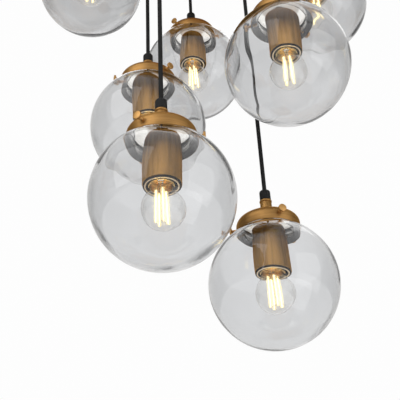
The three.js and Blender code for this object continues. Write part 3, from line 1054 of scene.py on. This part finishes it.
def filamentPoints(i, lampTurn):  # a filament's lower and upper end
    values = lampValues
    turn = math.radians(lampTurn + 360 * i / values["filaments"])
    ends = (values["spreadLow"], values["filamentLow"]), (values["spreadHigh"], values["filamentHigh"])
    return [Vector((math.cos(turn) * spread, math.sin(turn) * spread, height)) for spread, height in ends]


def filamentShape(radius, lampTurn):
    shape = bmesh.new()
    for i in range(lampValues["filaments"]):
        low, high = filamentPoints(i, lampTurn)
        addShape(shape, rodShape(low, high, radius, 12))
    return shape


def wireShape(lampTurn):  # the thin wires that carry the filaments on the stem
    values = lampValues
    shape = bmesh.new()
    for i in range(values["filaments"]):
        low, high = filamentPoints(i, lampTurn)
        foot = Vector((0, 0, values["filamentLow"] + values["wireRise"]))
        share = values["headShare"]
        head = Vector((high.x * share, high.y * share, values["filamentHigh"] + values["headRise"]))
        addShape(shape, rodShape(foot, low + Vector((0, 0, -values["wireOverlap"])), values["wire"], 8))
        addShape(shape, rodShape(high, head, values["wire"], 8))
    top = Vector((0, 0, values["stemEnd"] + values["postDepth"]))
    addShape(shape, rodShape(foot, top, values["post"], 8))
    return shape


for name, pendant in pendants.items():
    rim = pendant["rim"]
    lampBody = f"bulb_{name}"
    makePiece(
        f"lamp_bulb_{name}", bulbShape(), lampBody, [bulbGlass], rim, [f"bulb_glass_{name}"]
    )
    makePiece(
        f"lamp_cap_{name}", capShape(), lampBody, [capMetal, blackPlastic], rim,
        [f"bulb_base_{name}"], pick=capFinish,
    )
    makePiece(f"lamp_stem_{name}", stemShape(), lampBody, [stemGlass], rim)
    filaments = filamentShape(lampValues["filament"], pendant["lamp"])
    makePiece(f"lamp_filaments_{name}", filaments, lampBody, [filamentGlow], rim)
    # each filament's coat, with its painted halo of light
    coatsAndHalos = filamentShape(lampValues["coatAndHalo"], pendant["lamp"])
    makePiece(f"filament_coats_and_halos_{name}", coatsAndHalos, lampBody, [coatAndPaintedHalo], rim)
    makePiece(f"lamp_wires_{name}", wireShape(pendant["lamp"]), lampBody, [wireMetal], rim)
print("lamps made")


# glass globes: a blown shell with a short neck and a lip
globeValues = {
    "radius": 75.0, "centre": -65.65, "wall": 1.1, "neck": 30.8, "neckHeight": 12.0, "neckFrom": 0.5,
    "lip": 32.3, "lipHeight": 3.0, "lipRound": 0.6, "lipShare": 0.6, "mouthRound": 0.4, "mouthShare": 0.6,
    "fadeFrom": 14, "unevenOut": 0.25, "unevenIn": 0.65, "waves": 0.032, "waveRise": 0.5, "waveGain": 1.6,
}


def globeShape(number):
    values = globeValues
    reach = math.degrees(math.acos(values["neck"] / values["radius"]))
    outline = Outline(0, values["centre"] - values["radius"])
    outline.arc(0, values["centre"], 90 + reach, 72)
    outline.line(values["neck"], values["neckHeight"] - values["lipHeight"], values["lipRound"], 3)
    lipFoot = values["neckHeight"] - values["lipHeight"] * values["lipShare"]
    outline.line(values["lip"], lipFoot, values["lipRound"], 3)
    outline.line(values["lip"], values["neckHeight"], values["mouthRound"], 3)
    outline.line(values["neck"] - values["wall"] * values["mouthShare"], values["neckHeight"])
    shape = outline.spun(112, values["wall"])
    centre = Vector((0, 0, values["centre"]))
    start = Vector((9.7 * number, 3.1, 0))  # another stretch of the noise for each globe
    fadeTop = values["neckHeight"] - values["fadeFrom"]
    for point in shape.verts:  # waves in the wall, more of them inside than outside, and none at the neck
        fade = min(1.0, max(0.0, (fadeTop - point.co.z) / values["fadeFrom"]))
        if fade == 0:
            continue
        ray = point.co - centre
        place = Vector((point.co.x, point.co.y, point.co.z * values["waveRise"])) * values["waves"] + start
        if ray.length < values["radius"] - values["wall"] * 0.5:
            swell = values["unevenIn"] * noise.noise(place + Vector((0, 0, 31))) * values["waveGain"]
            ray *= 1 + fade * swell / ray.length
        else:
            ray *= 1 - fade * values["unevenOut"] * (0.5 + 0.5 * noise.noise(place)) / ray.length
        point.co = centre + ray
    return shape


def globeFinish(face):  # the neck is thinner, paler glass than the globe below it
    return 1 if face.calc_center_median().z > globeValues["neckFrom"] else 0


for name, pendant in pendants.items():
    makePiece(
        f"blown_globe_{name}", globeShape(int(name)), f"globe_{name}", [globeGlass, neckGlass],
        pendant["rim"], [f"globe_{name}"], sharp=50, pick=globeFinish,
    )
print("globes made")


# floor, background and lights
studio = {
    "floor": -2.4, "floorSize": 30.0, "floorLow": (0.86, 0.86, 0.86, 1), "floorHigh": (0.90, 0.90, 0.90, 1),
    "fadeFrom": 0.4, "fadeOver": 3.2,
    "ambient": 0.62, "white": (0.985, 0.985, 0.985, 1),
    "sides": (0.13, 0.125, 0.12, 1), "front": (0.84, 0.835, 0.83, 1),
    "backdrop": [  # the grey seen through the glass, which deepens with the height
        (0.30, (0.785, 0.792, 0.800, 1)),
        (0.44, (0.820, 0.827, 0.835, 1)),
        (0.60, (0.775, 0.780, 0.786, 1)),
        (0.72, (0.590, 0.592, 0.595, 1)),
    ],
    "lights": {
        "keyLight": {"place": (-1.5, -1.7, 0.5), "aim": (0, 0, -0.45), "size": (2.2, 2.4), "power": 26.0},
        "fillLight": {"place": (1.9, -1.2, -0.5), "aim": (0, 0, -0.45), "size": (1.8, 2.2), "power": 14.0},
        "topLight": {"place": (0.2, 0.6, 1.5), "aim": (0, 0, -0.4), "size": (2.0, 2.0), "power": 10.0},
        "bounceLight": {"place": (1.0, -1.2, -1.9), "aim": (0, 0, -0.5), "size": (1.8, 1.8), "power": 14.0},
    },
    "bounces": 32,
}


def makeFloor():  # it fades into the white background away from the object
    shape = bmesh.new()
    bmesh.ops.create_grid(shape, x_segments=1, y_segments=1, size=studio["floorSize"])
    mesh = bpy.data.meshes.new("floor")
    shape.to_mesh(mesh)
    mesh.transform(Matrix.Translation((0, 0, studio["floor"])))
    material, start = newMaterial("paleFloor")
    clouds = start.noise((1, 1, 1), 1.5, 3.0)
    colour = clouds.mix(studio["floorLow"], studio["floorHigh"])
    place = start.node("ShaderNodeTexCoord", None, None, "Object")
    flat = start.node("ShaderNodeVectorMath", {"operation": "MULTIPLY"}, {0: place, 1: (1, 1, 0)})
    away = start.node("ShaderNodeVectorMath", {"operation": "LENGTH"}, {0: flat}, "Value")
    seen = (start.ray("Is Camera Ray") + start.ray("Is Transmission Ray")).clamped()
    fade = ((away - studio["fadeFrom"]) * (1 / studio["fadeOver"])).clamped() * seen
    white = start.node("ShaderNodeEmission", None, {"Color": studio["white"], "Strength": 1.0})
    sockets = {"Base Color": colour, "Roughness": 0.85}
    mesh.materials.append(finishMaterial(material, start, sockets, white, fade))
    floor = bpy.data.objects.new("floor", mesh)
    bpy.context.scene.collection.objects.link(floor)


def makeBackground():  # white to the camera, grey through glass, and darker at the sides in what mirrors
    world = bpy.data.worlds.new("studioWorld")
    bpy.context.scene.world = world
    world.use_nodes = True
    world.node_tree.nodes.clear()
    start = Tone(world.node_tree)
    direction = start.node("ShaderNodeTexCoord", None, None, "Generated")
    across = start.node("ShaderNodeSeparateXYZ", None, {0: direction}, "X")
    rise = start.node("ShaderNodeSeparateXYZ", None, {0: direction}, "Z")
    mirrored = (1 - across * across * 1.15).clamped().mix(studio["sides"], studio["front"])
    mirrored = (rise * -3.0).clamped().mix(mirrored, studio["white"])
    behind = start.node("ShaderNodeValToRGB", {"stops": studio["backdrop"]}, {"Fac": rise})
    direct = 1 - start.ray("Diffuse Depth").clamped()
    glossed = start.ray("Glossy Depth").clamped()
    clear = start.ray("Is Transmission Ray") * (1 - glossed) * direct
    ambient, reflected, glazed, white = [
        start.node("ShaderNodeBackground", None, {"Color": colour, "Strength": strength})
        for colour, strength in (
            ((1, 1, 1, 1), studio["ambient"]), (mirrored, 1.0), (behind, 1.0), (studio["white"], 1.0)
        )
    ]
    lit = clear.blend((glossed * direct).blend(ambient, reflected), glazed)
    start.node("ShaderNodeOutputWorld", None, {"Surface": start.ray("Is Camera Ray").blend(lit, white)})


def makeLight(name, place, aim, size, power):
    data = bpy.data.lights.new(name, "AREA")
    data.shape = "RECTANGLE"
    data.size, data.size_y = size
    data.energy = power
    lamp = bpy.data.objects.new(name, data)
    lamp.location = place
    lamp.rotation_mode = "QUATERNION"
    lamp.rotation_quaternion = (Vector(aim) - Vector(place)).to_track_quat("-Z", "Y")
    lamp.visible_camera = False
    lamp.visible_transmission = False
    bpy.context.scene.collection.objects.link(lamp)


makeFloor()
makeBackground()
for name, light in studio["lights"].items():
    makeLight(name, **light)
bpy.context.scene.view_settings.view_transform = "Standard"
rays = bpy.context.scene.cycles
rays.max_bounces = rays.transmission_bounces = rays.transparent_max_bounces = studio["bounces"]
rays.caustics_refractive = rays.caustics_reflective = False
print("studio lit")
